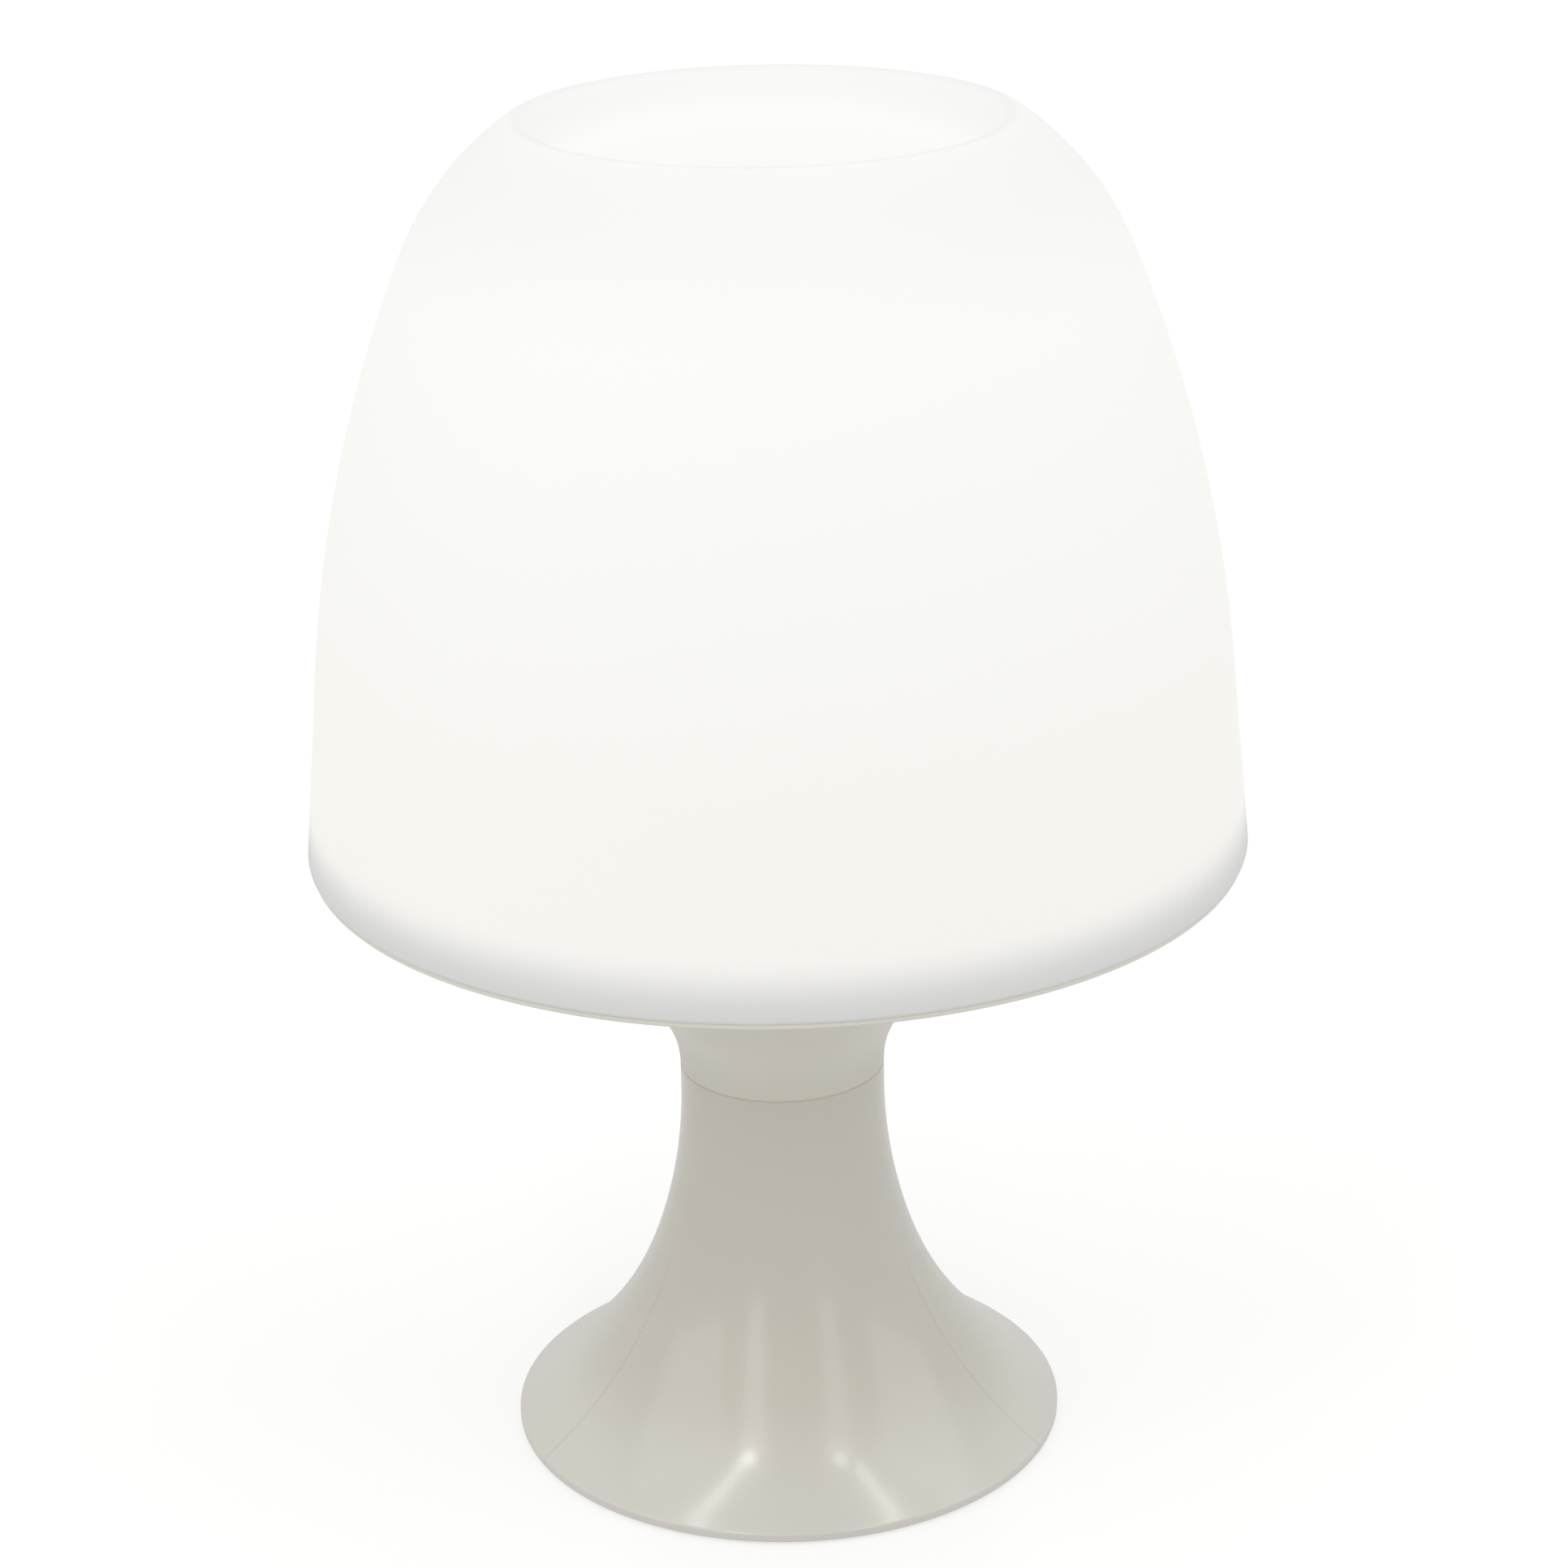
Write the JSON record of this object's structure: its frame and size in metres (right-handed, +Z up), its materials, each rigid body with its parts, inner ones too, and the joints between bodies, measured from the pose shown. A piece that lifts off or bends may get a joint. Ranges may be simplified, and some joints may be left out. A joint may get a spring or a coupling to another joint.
{
  "type": "table lamp",
  "caption": "Cordless table lamp with a glowing bell-shaped shade, dished on top, on a glossy trumpet base with a battery cover and slide switch underneath.",
  "frame": {"origin": "on the table under the lamp's axis, at the bottom of the feet", "axes": "+Z up along the lamp's axis, +Y away from the viewer, +X to the viewer's right"},
  "size_m": [0.1598, 0.1598, 0.235],
  "materials": {
    "lit_shade": "matte translucent white, evenly lit from inside",
    "gloss_shell": "high gloss warm white moulding",
    "satin_tray": "satin warm white moulding",
    "underside_plastic": "fine spark-textured warm white",
    "natural_plastic": "plain off-white moulding",
    "black_plastic": "matte black moulding",
    "foot_rubber": "soft grey rubber",
    "pad_foam": "closed-cell foam",
    "cell_can": "printed film over a metal can",
    "contact_plate": "nickel-plated spring steel",
    "screw_steel": "zinc-plated steel",
    "board_white": "white solder mask",
    "chip_phosphor": "yellow phosphor gel, lit",
    "wire_black": "black insulation",
    "wire_white": "white insulation",
    "wire_red": "red insulation"
  },
  "bodies": {
    "lamp": {"base_shell": "gloss_shell", "shade_tray": "satin_tray", "shade": "lit_shade", "base_plate": "underside_plastic", "base_plate_screws": "screw_steel", "feet": "foot_rubber", "battery_sleeve": "natural_plastic", "cartridge_frame": "black_plastic", "battery_cell_a": "cell_can", "battery_cell_b": "cell_can", "battery_cell_c": "cell_can", "lower_bridge": "contact_plate", "upper_bridge": "contact_plate", "positive_plate": "contact_plate", "negative_strip": "contact_plate", "positive_terminal": "contact_plate", "negative_terminal": "contact_plate", "neck_screws": "screw_steel", "light_board": "board_white", "board_screws": "screw_steel", "light_chips": "chip_phosphor", "board_resistors": "black_plastic", "switch_body": "black_plastic", "switch_pins": "contact_plate", "switch_screws": "screw_steel", "negative_wire": "wire_black", "switched_wire": "wire_white", "positive_wire": "wire_red"},
    "battery_cover": {"battery_cover": "underside_plastic", "cover_pad": "pad_foam"},
    "switch_slider": {"switch_slider": "black_plastic"}
  },
  "joints": [
    {"name": "cover_twist", "type": "hinge", "parent": "lamp", "child": "battery_cover", "pos_m": [0, 0, 0.0012], "axis": [0, 0, 1], "range_deg": [-30, 0]},
    {"name": "switch_slide", "type": "slide", "parent": "lamp", "child": "switch_slider", "axis": [1, 0, 0], "range_m": [-0.0025, 0]}
  ]
}
